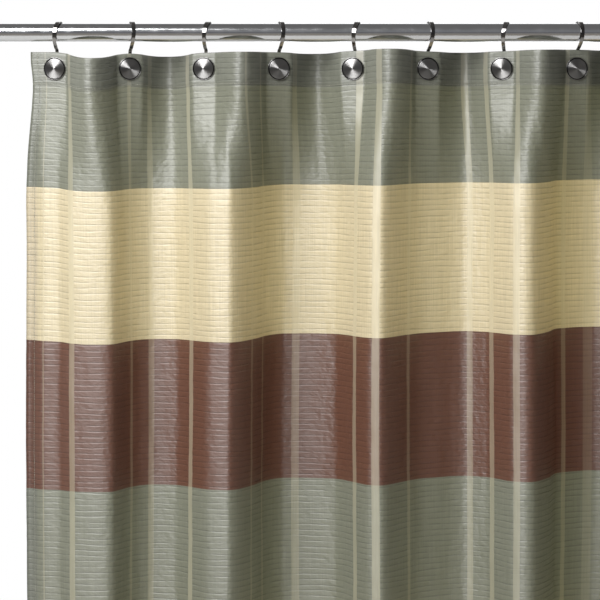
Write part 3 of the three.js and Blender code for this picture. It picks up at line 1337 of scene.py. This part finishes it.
def monotone_curve(x: np.ndarray, y: np.ndarray, at: np.ndarray) -> np.ndarray:
    """Interpolate without overshoot between control points.

    Args:
        x: The control points' places, rising.
        y: Their values.
        at: Where to evaluate.

    Returns:
        The values there.
    """
    # Each point's slope is a weighted harmonic mean of the slopes on its two sides.
    h, d = np.diff(x), np.diff(y) / np.diff(x)
    slope = np.zeros(len(x))
    slope[0], slope[-1] = d[0], d[-1]
    for i in range(1, len(x) - 1):
        if d[i - 1] * d[i] > 0:
            w1, w2 = 2 * h[i] + h[i - 1], h[i] + 2 * h[i - 1]
            slope[i] = (w1 + w2) / (w1 / d[i - 1] + w2 / d[i])
    i = np.clip(np.searchsorted(x, at, side="right") - 1, 0, len(h) - 1)
    t = (at - x[i]) / h[i]
    return (
        (1 + 2 * t) * (1 - t) ** 2 * y[i]
        + t * (1 - t) ** 2 * h[i] * slope[i]
        + t * t * (3 - 2 * t) * y[i + 1]
        + t * t * (t - 1) * h[i] * slope[i + 1]
    )


@dataclass
class CurtainCloth:
    """The cloth: hems folded over, buttonholes, and folds that deepen below the header.

    Sizes are in mm. Columns run down the warp and rows across it.
    """

    top: float
    first_hook: float
    hook_pitch: float
    width: float = 1800.0
    height: float = 1800.0
    header_hem: float = 51.0
    bottom_hem: float = 30.0
    side_hem: float = 14.0
    side_margin: float = 38.0
    flat_half: float = 19.0  # of the flat stretch at each hook
    lean: float = 64.0  # degrees at which a bow leaves it
    yaw: float = 14.0  # degrees
    column_step: float = 3.6  # of the mesh, at most
    row_step: float = 6.0
    hole_drop: float = 25.3
    hole_half: tuple[float, float] = (6.0, 2.6)
    layer_gap: float = 1.1  # of a hem's two layers from their middle
    weft_slope: float = 0.0185  # the weft runs up to the right, mm per mm
    folds_deepen: tuple[float, float] = (24.0, 240.0)  # drops between which the folds form
    wander: float = 3.0  # of a fold from side to side
    swell: float = 0.05  # of a fold's depth, as a share
    edge_pull: float = 3.0
    edge_flare: float = 3.5
    edge_lift: float = 5.0  # of the left edge below the header
    # How far the top edge dips between two hooks, and at each hook.
    sags: tuple[float, ...] = (7.4, 5.8, -1.5, 3.8, -4.0, 2.4, -1.5, 1.0, 3.0, -1.0, 4.0)
    dips: tuple[float, ...] = (0.6, 2.6, 1.5, 0.8, -1.2, -0.4, -0.7, -3.0, -1.2, 0.0, 0.5, -0.5)
    # The hung section below the header: mm right of the first hook, mm forward.
    section: tuple[tuple[float, float], ...] = (
        (-46, -13), (-38, -10), (-22, 3), (6, 12), (18, 23), (28, 29), (75, 40), (82, 39),
        (108, 0), (125, -15), (142, -20), (176, -12), (233, 45), (257, 54), (262, 55),
        (273, 49), (300, 7), (317, -31), (332, -50), (343, -56), (352, -56), (364, -55),
        (421, -36), (473, 45), (484, 50), (488, 51), (496, 47), (508, 34), (530, 6), (550, -13),
        (576, -24), (600, -32), (610, -33), (647, -13), (684, 43), (705, 52), (709, 52),
        (715, 49), (739, 9), (754, -33), (770, -44), (798, -55), (810, -56), (826, -52),
        (880, 36), (900, 47), (915, 51), (925, 48), (950, 9), (972, -25), (992, -40),
        (1010, -42), (1050, -29), (1090, 34), (1108, 43), (1124, 47), (1134, 43), (1158, 5),
        (1180, -18), (1202, -25), (1236, -16), (1263, -2),
    )  # fmt: skip

    @classmethod
    def from_frame(cls) -> "CurtainCloth":
        """Take the top edge and the hooks' places from the CAD and its record.

        Returns:
            The cloth, not yet built.
        """
        # The odd hooks turn the same way, so their discs are whole pitches apart.
        first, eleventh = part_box("hook_01_disc")[0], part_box("hook_11_disc")[0]
        fixed = joint_row("draw")["deforming_nodes"][0]["fixed_end_x_m"]
        return cls(
            top=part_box("curtain_cloth")[1].z / MM,
            first_hook=fixed / MM,
            hook_pitch=(eleventh.x - first.x) / 10 / MM,
        )

    @property
    def hole_z(self) -> float:
        """Give the height of the buttonholes' middle."""
        return self.top - self.hole_drop

    @property
    def flat_pitch(self) -> float:
        """Give the flat cloth between two buttonholes."""
        return (self.width - 2 * self.side_margin) / (HOOK_COUNT - 1)

    def hole_at(self, index: int) -> float:
        """Give a buttonhole's place across the flat cloth."""
        return self.side_margin + index * self.flat_pitch

    def hook_x(self, index: int) -> float:
        """Give a hook's x."""
        return self.first_hook + index * self.hook_pitch

    def hook_yaw(self, index: int) -> float:
        """Give a hook's turn: left and right by turns, in radians."""
        return math.radians(-self.yaw if index % 2 == 0 else self.yaw)

    def header_line(self, across: np.ndarray) -> np.ndarray:
        """Lay the header out in plan: flat at each hook, with a bow between two.

        Args:
            across: Places across the flat cloth, in mm.

        Returns:
            The x and y of each place, in mm.
        """
        line = np.zeros((len(across), 2))
        for index in range(HOOK_COUNT):
            at, yaw = self.hole_at(index), self.hook_yaw(index)
            low = -np.inf if index == 0 else at - self.flat_half
            high = np.inf if index == HOOK_COUNT - 1 else at + self.flat_half
            near = (across >= low) & (across <= high)
            run = across[near] - at
            line[near, 0] = self.hook_x(index) + run * math.cos(yaw)
            line[near, 1] = run * math.sin(yaw)
        for index in range(HOOK_COUNT - 1):
            start = self.hole_at(index) + self.flat_half
            length = self.flat_pitch - 2 * self.flat_half
            between = (across > start) & (across < start + length)
            curve, run = self.bow(index, length)
            share = (across[between] - start) / length
            for axis in range(2):
                line[between, axis] = np.interp(share, run / run[-1], curve[:, axis])
        return line

    def bow(self, index: int, length: float) -> tuple[np.ndarray, np.ndarray]:
        """Bend the cloth between two hooks into a curve of its own length.

        Args:
            index: The hook at its left.
            length: The flat cloth's length there.

        Returns:
            The curve's points, and the run to each of them.
        """
        forward = -1 if index % 2 == 0 else 1
        ends = []
        for hook, side in ((index, 1), (index + 1, -1)):
            yaw, run = self.hook_yaw(hook), side * self.flat_half
            ends.append(
                np.array((self.hook_x(hook) + run * math.cos(yaw), run * math.sin(yaw)))
            )
        lean = math.radians(self.lean)
        rise = np.array((math.cos(lean), forward * math.sin(lean)))
        fall = np.array((-rise[0], rise[1]))
        t = np.linspace(0, 1, 200)[:, None]
        low, high = 1.0, 150.0  # mm, of the bow's handles, halved until its length is right
        for _ in range(40):
            reach = (low + high) / 2
            first, second = ends[0] + rise * reach, ends[1] + fall * reach
            curve = (
                (1 - t) ** 3 * ends[0]
                + 3 * t * (1 - t) ** 2 * first
                + 3 * t**2 * (1 - t) * second
                + t**3 * ends[1]
            )
            steps = np.linalg.norm(np.diff(curve, axis=0), axis=1)
            run = np.concatenate(([0.0], np.cumsum(steps)))
            if run[-1] < length:
                low = reach
            else:
                high = reach
        return curve, run

    def hung_line(self, across: np.ndarray) -> np.ndarray:
        """Lay the hung section out in plan, each buttonhole's warp under its hook.

        Args:
            across: Places across the flat cloth, in mm.

        Returns:
            The x and y of each place, in mm.
        """
        points = np.array(self.section, float)
        x = np.linspace(points[0, 0], points[-1, 0], 6000)
        forward = monotone_curve(points[:, 0], points[:, 1], x)
        steps = np.hypot(np.diff(x), np.diff(forward))
        run = np.concatenate(([0.0], np.cumsum(steps)))
        hooks = [self.hook_pitch * index for index in range(HOOK_COUNT)]
        flat = [0.0] + [self.hole_at(index) for index in range(HOOK_COUNT)] + [self.width]
        hung = [0.0] + [float(np.interp(at, x, run)) for at in hooks] + [float(run[-1])]
        here = monotone_curve(np.array(flat), np.array(hung), across)
        return np.stack(
            (np.interp(here, run, x) + self.first_hook, -np.interp(here, run, forward)), axis=1
        )

    def columns(self) -> list[tuple[float, float]]:
        """List the mesh's columns: the right-hand hem's return comes last.

        Returns:
            Each column's place across the flat cloth, and its lift off the main layer.
        """
        fixed = {0.0, self.width, self.side_hem, self.width - self.side_hem}
        for index in range(HOOK_COUNT):
            at, half = self.hole_at(index), self.hole_half[0]
            fixed |= {at - half, at - half / 2, at, at + half / 2, at + half}
        stops = sorted(fixed)
        front = []
        for start, end in zip(stops, stops[1:]):
            count = max(1, math.ceil((end - start) / self.column_step))
            front += [start + (end - start) * step / count for step in range(count)]
        front.append(self.width)
        back = [self.side_hem, 12.0, 8.0, 4.0, 1.2, 0.3]
        left = [(at, -0.8 if at > 1.0 else -0.5) for at in back]
        right = [(self.width - at, lift) for at, lift in reversed(left)]
        return left + [(at, 0.0) for at in front] + right

    def rows(self) -> list[tuple[float, float, Layer]]:
        """List the mesh's rows, from the header hem's raw edge over the top to the bottom.

        Returns:
            Each row's drop from the top edge, its lift off the middle, and its layer.
        """
        gap, hem = self.layer_gap, self.header_hem
        hole = [self.hole_drop + side * self.hole_half[1] for side in (-1, 1)]
        drops = [3.5, 7.5, 11.5, 15.5, 19.0, *hole, 31.0, 35.0, 39.0, 43.0, 46.0]
        made = [(hem, -gap * 0.8, Layer.BACK), (hem - 3, -gap * 0.35, Layer.BACK)]
        made += [(drop, -gap, Layer.BACK) for drop in reversed(drops)]
        for drop, lift in ((1.2, -0.95), (0.3, -0.6), (0.0, 0.0), (0.3, 0.6), (1.2, 0.95)):
            made.append((drop, gap * lift, Layer.BACK if lift < 0 else Layer.FACE))
        made += [(drop, gap, Layer.FACE) for drop in drops]
        made += [(hem - 3, gap * 0.25, Layer.FACE), (hem, gap * 0.5, Layer.FACE)]
        made += [(hem + 4, gap * 0.2, Layer.FACE)]
        start, end = hem + 8, self.height - self.bottom_hem
        count = math.ceil((end - start) / self.row_step)
        for step in range(count + 1):
            made.append((start + (end - start) * step / count, 0.0, Layer.FACE))
        bottom = [(26.0, 0.2), (22.0, 0.5), (14.0, 0.6), (6.0, 0.6), (1.5, 0.5), (0.3, 0.3)]
        made += [(self.height - rise, lift, Layer.FACE) for rise, lift in bottom]
        made.append((self.height, 0.0, Layer.FACE))
        made += [(self.height - rise, -lift, Layer.BACK) for rise, lift in reversed(bottom)]
        made.append((end, -0.5, Layer.BACK))
        return made

    def place_grid(self) -> np.ndarray:
        """Work out where each of the mesh's points hangs.

        Returns:
            Rows by columns by x, y, z, in metres.
        """
        columns, rows = self.columns(), self.rows()
        across = np.array([at for at, _ in columns])
        side_lift = np.array([lift for _, lift in columns])
        order = np.argsort(across)
        header, hung = self.header_line(across), self.hung_line(across)
        sag = self.sag_of(across)
        holes = [self.hole_at(index) for index in range(HOOK_COUNT)]
        dip = np.interp(across, holes, self.dips)
        grid = np.zeros((len(rows), len(columns), 3))
        for row, (drop, lift, layer) in enumerate(rows):
            plan = self.plan_at(across, drop, header, hung)
            facing = self.facing(across, plan, order)
            offset = lift + side_lift * layer.value + self.wrinkle(across, drop)
            grid[row, :, :2] = plan + facing * offset[:, None]
            grid[row, :, 2] = self.hang_at(across, drop, sag, dip)
        return grid * MM

    def plan_at(
        self, across: np.ndarray, drop: float, header: np.ndarray, hung: np.ndarray
    ) -> np.ndarray:
        """Lay one row out in plan: the header's line high up, the hung section lower down.

        Args:
            across: Places across the flat cloth, in mm.
            drop: The row's drop from the top edge, in mm.
            header: The header's line at these places.
            hung: The hung section at these places.

        Returns:
            The x and y of each place, in mm.
        """
        deepen = smoothstep(drop, *self.folds_deepen)
        plan = header * (1 - deepen) + hung * deepen
        # Below the header no fold falls quite straight or keeps quite the same depth.
        edge_run = 160.0
        inward = smoothstep(across, 0.0, edge_run)
        inward = inward * smoothstep(self.width - across, 0.0, edge_run)
        wander = self.wander * np.sin(drop / 310.0 + across / 190.0) * deepen * inward
        plan[:, 0] += wander * smoothstep(drop, 120.0, 700.0)
        plan[:, 1] *= 1.0 + self.swell * np.sin(drop / 420.0 + across / 260.0) * deepen
        # The side edges draw in under the header hem; the left one flares out below it.
        edge = smoothstep(across, 60.0, 0.0) + 0.6 * smoothstep(across, 1740.0, self.width)
        pulled = smoothstep(drop, 10, 50) * (1 - smoothstep(drop, 50, 170))
        flare = smoothstep(across, 110.0, 0.0) * smoothstep(drop, 250.0, 620.0)
        plan[:, 0] += self.edge_pull * edge * pulled - self.edge_flare * flare
        return plan

    def hang_at(
        self, across: np.ndarray, drop: float, sag: np.ndarray, dip: np.ndarray
    ) -> np.ndarray:
        """Give how high one row hangs: dips fade below the header, and the left edge is lifted.

        Args:
            across: Places across the flat cloth, in mm.
            drop: The row's drop from the top edge, in mm.
            sag: How far the top edge dips between the hooks, at these places.
            dip: How far it dips at the hooks.

        Returns:
            The z of each place, in mm.
        """
        hang = self.top - drop - sag * (1 - smoothstep(drop, 20.0, 260.0))
        hang = hang - dip * (1 - smoothstep(drop, 2.0, 20.0))
        lifted = smoothstep(drop, 60, 160) * (1 - smoothstep(drop, 330, 640))
        return hang + self.edge_lift * smoothstep(across, 95.0, 10.0) * lifted

    def sag_of(self, across: np.ndarray) -> np.ndarray:
        """Give how far the top edge dips between the hooks.

        Args:
            across: Places across the flat cloth, in mm.

        Returns:
            The dip at each place, in mm.
        """
        sag = np.zeros(len(across))
        for index, dip in enumerate(self.sags):
            t = (across - self.hole_at(index)) / self.flat_pitch
            sag += np.where((t > 0) & (t < 1), dip * np.sin(np.pi * np.clip(t, 0, 1)) ** 1.3, 0)
        return sag

    def facing(self, across: np.ndarray, plan: np.ndarray, order: np.ndarray) -> np.ndarray:
        """Give the direction that the face looks in, in plan.

        Args:
            across: Places across the flat cloth.
            plan: The x and y of each place.
            order: The places' order from left to right.

        Returns:
            A unit vector for each place.
        """
        sorted_at, first = np.unique(across[order], return_index=True)
        line = plan[order][first]
        run = np.gradient(line, sorted_at, axis=0)
        run /= np.linalg.norm(run, axis=1)[:, None]
        tangent = np.stack([np.interp(across, sorted_at, run[:, axis]) for axis in range(2)], 1)
        return np.stack((tangent[:, 1], -tangent[:, 0]), axis=1)

    def wrinkle(self, across: np.ndarray, drop: float) -> np.ndarray:
        """Give the small unevenness of hung cloth, calmer under the discs.

        Args:
            across: Places across the flat cloth, in mm.
            drop: The row's drop from the top edge, in mm.

        Returns:
            The lift of each place, in mm.
        """
        calm = np.ones(len(across))
        if drop < 60:
            for index in range(HOOK_COUNT):
                calm *= smoothstep(np.abs(across - self.hole_at(index)), 16.0, 34.0)
        # Soft wrinkles of 34 mm by 60 mm, and finer ones of 10 mm by 13 mm.
        lift = np.array(
            [
                0.9 * noise.noise(Vector((at / 34.0, drop / 60.0, 1.7)))
                + 0.5 * noise.noise(Vector((at / 10.0, drop / 13.0, 5.1)))
                for at in across
            ]
        )
        return lift * calm

    def weft_rise(self, across: float, drop: float) -> float:
        """Give how far the weft has climbed here: none at the top edge, more lower down."""
        return self.weft_slope * (1 - math.exp(-drop / 170.0)) * across

    def is_hole(self, across: Sequence[float], drops: Sequence[float]) -> bool:
        """Tell whether a face of the mesh lies in a buttonhole.

        Args:
            across: Where its two columns are, across the flat cloth.
            drops: How far its two rows are below the top edge.

        Returns:
            True in a buttonhole.
        """
        middle, drop = sum(across) / 2, sum(drops) / 2
        if abs(drop - self.hole_drop) > self.hole_half[1]:
            return False
        nearest = round((middle - self.side_margin) / self.flat_pitch)
        return abs(middle - self.hole_at(nearest)) < self.hole_half[0]

    def cloth(self, grid: np.ndarray) -> bpy.types.Object:
        """Weave the grid into one sheet with its flat map.

        Args:
            grid: The points from place_grid.

        Returns:
            The cloth.
        """
        columns, rows = self.columns(), self.rows()
        work = bmesh.new()
        layer = work.loops.layers.uv.new(FLAT_MAP)
        verts = [[work.verts.new(point) for point in row] for row in grid]
        for row in range(len(rows) - 1):
            drops = (rows[row][0], rows[row + 1][0])
            for column in range(len(columns) - 1):
                across = (columns[column][0], columns[column + 1][0])
                if self.is_hole(across, drops):
                    continue
                left, right = verts[row][column : column + 2]
                left_below, right_below = verts[row + 1][column : column + 2]
                face = work.faces.new([left, left_below, right_below, right])
                for loop, (side, end) in zip(face.loops, ((0, 0), (0, 1), (1, 1), (1, 0))):
                    at, drop = across[side], drops[end]
                    loop[layer].uv = (at * MM, (drop + self.weft_rise(at, drop)) * MM)
        for vert in [vert for vert in work.verts if not vert.link_faces]:
            work.verts.remove(vert)
        return new_object("curtain_sheet", work, WEAVE, "curtain")

    def seam(self, name: str, line: np.ndarray, outward: np.ndarray) -> bpy.types.Object:
        """Sew a row of lock stitches along a line.

        Args:
            name: The seam's name.
            line: The line's points on the cloth, in metres.
            outward: The direction off the cloth at each point.

        Returns:
            The stitches.
        """
        stitch, gap, thick = 3.0 * MM, 0.5 * MM, 0.28 * MM
        # Along a stitch: the share of its length, its rise off the cloth, its thickness.
        profile = ((0.0, 0.0, 0.45), (0.25, 1.0, 1.0), (0.75, 1.0, 1.0), (1.0, 0.0, 0.45))
        sides = 6
        steps = np.linalg.norm(np.diff(line, axis=0), axis=1)
        run = np.concatenate(([0.0], np.cumsum(steps)))
        work = bmesh.new()
        for index in range(int(run[-1] / (stitch + gap))):
            start = index * (stitch + gap)
            rings = []
            for share, rise, size in profile:
                at = start + stitch * share
                point = Vector([np.interp(at, run, line[:, axis]) for axis in range(3)])
                out = Vector([np.interp(at, run, outward[:, axis]) for axis in range(3)])
                out.normalize()
                next_at = at + stitch / 4
                ahead = Vector([np.interp(next_at, run, line[:, axis]) for axis in range(3)])
                along = ahead - point
                if along.length < 1e-7:
                    along = Vector((0, 0, -1)) if abs(out.z) < 0.5 else Vector((1, 0, 0))
                side = out.cross(along.normalized()).normalized()
                middle = point + out * thick * (0.3 + 0.9 * rise)
                turns = [2 * math.pi * step / sides for step in range(sides)]
                spokes = [side * math.cos(turn) + out * math.sin(turn) for turn in turns]
                rings.append([work.verts.new(middle + spoke * thick * size) for spoke in spokes])
            for low, high in zip(rings, rings[1:]):
                for corner in range(sides):
                    after = (corner + 1) % sides
                    work.faces.new([low[corner], low[after], high[after], high[corner]])
            work.faces.new(list(reversed(rings[0])))
            work.faces.new(rings[-1])
        bmesh.ops.recalc_face_normals(work, faces=work.faces)
        return new_object(name, work, SEWING_THREAD, "curtain")

    def seams(self, grid: np.ndarray) -> list[bpy.types.Object]:
        """Sew the four hems, on the cloth's face.

        Args:
            grid: The points from place_grid.

        Returns:
            The seams.
        """
        columns, rows = self.columns(), self.rows()
        down = np.gradient(grid, axis=0)
        right = np.gradient(grid, axis=1)
        outward = np.cross(down, right)
        outward /= np.maximum(np.linalg.norm(outward, axis=2), 1e-9)[:, :, None]
        front = [i for i, (_, lift) in enumerate(columns) if lift == 0.0]
        face = [i for i, (_, _, layer) in enumerate(rows) if layer is Layer.FACE]
        drop_of = {rows[i][0]: i for i in face}
        header = drop_of[self.header_hem - 3]
        bottom = drop_of[self.height - 26.0]
        main = [i for i in face if 1.0 < rows[i][0] < self.height - 1.0]
        made = []
        for name, row in (("header_seam", header), ("bottom_seam", bottom)):
            made.append(self.seam(name, grid[row, front], outward[row, front]))
        places = [columns[i][0] for i in front]
        for name, target in (("left_seam", 12.0), ("right_seam", self.width - 12.0)):
            column = front[int(np.argmin([abs(at - target) for at in places]))]
            made.append(self.seam(name, grid[main, column], outward[main, column]))
        return made

    def build(self, hung_from: Sequence[bpy.types.Object]) -> list[bpy.types.Object]:
        """Build the cloth and its seams.

        Args:
            hung_from: The hooks' pieces that carry it; not used.

        Returns:
            The cloth and its seams.
        """
        grid = self.place_grid()
        cloth = self.cloth(grid)
        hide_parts("curtain_cloth")
        seams = self.seams(grid)
        for piece in [cloth, *seams]:
            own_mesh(piece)
        return [cloth, *seams]


# ---- the studio ----
@dataclass(frozen=True)
class SoftBox:
    """A soft light that looks at the curtain's upper half."""

    name: str
    azimuth: float  # degrees to the right of the front
    elevation: float  # degrees above the target
    distance: float  # metres from it
    size: tuple[float, float]  # metres wide and high
    radiance: float  # the white background is 1


@dataclass
class Studio:
    """A pale floor, a white background and soft lights round the curtain, in metres."""

    centre: Vector
    floor_z: float = -1.9
    floor_half: float = 2.6
    light_target_z: float = -0.65
    camera_distance: float = 4.5
    focal_length: float = 180.0  # mm
    aim: tuple[float, float, float] = (0.5223, 0.0, -0.401)
    soft_boxes: tuple[SoftBox, ...] = (
        SoftBox("key_softbox", -43.0, 40.0, 3.0, (1.8, 1.6), 14.4),
        SoftBox("fill_softbox", 70.0, 10.0, 3.2, (1.5, 2.0), 0.15),
        SoftBox("back_softbox", 165.0, 5.0, 3.0, (2.4, 2.4), 1.1),
    )

    def floor(self) -> bpy.types.Object:
        """Lay a plain pale floor with a matt painted finish.

        Returns:
            The floor.
        """
        work = bmesh.new()
        bmesh.ops.create_grid(work, x_segments=8, y_segments=8, size=self.floor_half)
        bmesh.ops.translate(work, verts=work.verts, vec=(self.centre.x, 0, self.floor_z))
        data = bpy.data.meshes.new("studio_floor")
        work.to_mesh(data)
        work.free()
        data.materials.append(FLOOR_PAINT.material())
        made = bpy.data.objects.new("studio_floor", data)
        bpy.context.collection.objects.link(made)
        return made

    def light(self, box: SoftBox) -> bpy.types.Object:
        """Hang a soft box.

        Args:
            box: Where it hangs, how large it is and how bright.

        Returns:
            The light.
        """
        data = bpy.data.lights.new(box.name, "AREA")
        data.shape = "RECTANGLE"
        data.size, data.size_y = box.size
        data.energy = box.radiance * math.pi * box.size[0] * box.size[1]
        made = bpy.data.objects.new(box.name, data)
        bpy.context.collection.objects.link(made)
        turn, rise = math.radians(box.azimuth), math.radians(box.elevation)
        level = math.cos(rise)
        direction = Vector((math.sin(turn) * level, -math.cos(turn) * level, math.sin(rise)))
        target = Vector((self.centre.x, 0, self.light_target_z))
        made.location = target + direction * box.distance
        made.rotation_euler = (-direction).to_track_quat("-Z", "Y").to_euler()
        made.visible_camera = False
        return made

    def surroundings(self) -> None:
        """Paint the room: white to the eye, bright behind the cloth, grey in front."""
        world = bpy.data.worlds.new("studio_room")
        bpy.context.scene.world = world
        world.use_nodes = True
        tree = world.node_tree
        tree.nodes.clear()
        look = add_node(tree, "ShaderNodeTexCoord").outputs["Generated"]
        parts = add_node(tree, "ShaderNodeSeparateXYZ", {0: look})
        height = add_node(
            tree,
            "ShaderNodeMapRange",
            {"Value": parts.outputs["Z"], "From Min": -1.0, "From Max": 1.0},
        )
        # From the floor at 0 past the horizon at 0.5, a little darker there, to the ceiling.
        front = add_node(
            tree,
            "ShaderNodeValToRGB",
            {"Fac": height.outputs[0]},
            stops=(
                (0.0, linear("#b0a89c")),
                (0.3, linear("#a39c93")),
                (0.44, linear("#8c8a88")),
                (0.52, linear("#6a6a6e")),
                (0.6, linear("#8f9093")),
                (0.9, linear("#7c7b7a")),
            ),
        )
        # The room behind the cloth is bright, and fades out from 20 to 58 degrees up.
        behind = add_node(
            tree,
            "ShaderNodeMapRange",
            {"Value": parts.outputs["Y"], "From Min": -0.05, "From Max": 0.55},
            interpolation_type="SMOOTHSTEP",
        )
        low = add_node(
            tree,
            "ShaderNodeMapRange",
            {"Value": parts.outputs["Z"], "From Min": 0.85, "From Max": 0.35},
            interpolation_type="SMOOTHSTEP",
        )
        share = add_node(
            tree, "ShaderNodeMath", {0: behind.outputs[0], 1: low.outputs[0]}, operation="MULTIPLY"
        )
        room = add_node(
            tree,
            "ShaderNodeMix",
            {0: share.outputs[0], 6: front.outputs[0], 7: grey(1.85)},
            data_type="RGBA",
        )
        # Dark to both sides and darkest on the right, so that folds turned there go dark.
        right = add_node(
            tree,
            "ShaderNodeValToRGB",
            {"Fac": parts.outputs["X"]},
            stops=((0.0, grey(1.0)), (0.12, grey(0.95)), (0.5, grey(0.3))),
        )
        left = add_node(
            tree,
            "ShaderNodeMapRange",
            {
                "Value": parts.outputs["X"],
                "From Min": -0.12,
                "From Max": -0.5,
                "To Min": 1.0,
                "To Max": 0.5,
            },
            interpolation_type="SMOOTHSTEP",
        )
        sides = add_node(
            tree, "ShaderNodeMath", {0: right.outputs[0], 1: left.outputs[0]}, operation="MULTIPLY"
        )
        dim = add_node(
            tree, "ShaderNodeBackground", {"Color": room.outputs[2], "Strength": sides.outputs[0]}
        )
        white = add_node(tree, "ShaderNodeBackground", {"Color": grey(1.0), "Strength": 1.0})
        eye = add_node(tree, "ShaderNodeLightPath").outputs["Is Camera Ray"]
        mixed = add_node(
            tree, "ShaderNodeMixShader", {0: eye, 1: dim.outputs[0], 2: white.outputs[0]}
        )
        add_node(tree, "ShaderNodeOutputWorld", {"Surface": mixed.outputs[0]})

    def camera(self) -> bpy.types.Object:
        """Stand the camera level with the rod, looking slightly down at the upper cloth.

        Returns:
            The camera.
        """
        data = bpy.data.cameras.new("camera")
        data.lens = self.focal_length
        data.sensor_width = 36.0
        data.clip_end = 50.0
        made = bpy.data.objects.new("camera", data)
        bpy.context.collection.objects.link(made)
        target = Vector(self.aim)
        made.location = Vector((target.x, -self.camera_distance, 0.0))
        made.rotation_euler = (target - made.location).to_track_quat("-Z", "Y").to_euler()
        bpy.context.scene.camera = made
        return made

    def build(self) -> None:
        """Set up the floor, the room, the lights and the camera."""
        self.floor()
        self.surroundings()
        for box in self.soft_boxes:
            self.light(box)
        self.camera()
        scene = bpy.context.scene
        scene.view_settings.view_transform = "Standard"
        scene.view_settings.look = "None"


def main() -> None:
    """Build the curtain and its studio."""
    logging.basicConfig(level=logging.INFO, format="%(name)s: %(message)s")
    low, high = CAD_BOUNDS
    Studio(centre=(Vector(low) + Vector(high)) / 2).build()
    made = TensionRod().build()
    cloth = CurtainCloth.from_frame()
    hooks = []
    for index in range(HOOK_COUNT):
        yaw, place_x = cloth.hook_yaw(index), cloth.hook_x(index)
        hooks += CurtainHook(index, yaw, place_x, cloth.hole_z).build()
    made += hooks
    carriers = [piece for piece in hooks if piece.name.endswith(("_strap", "_rivet"))]
    made += cloth.build(carriers)
    bpy.context.view_layer.update()


if __name__ == "__main__":
    main()
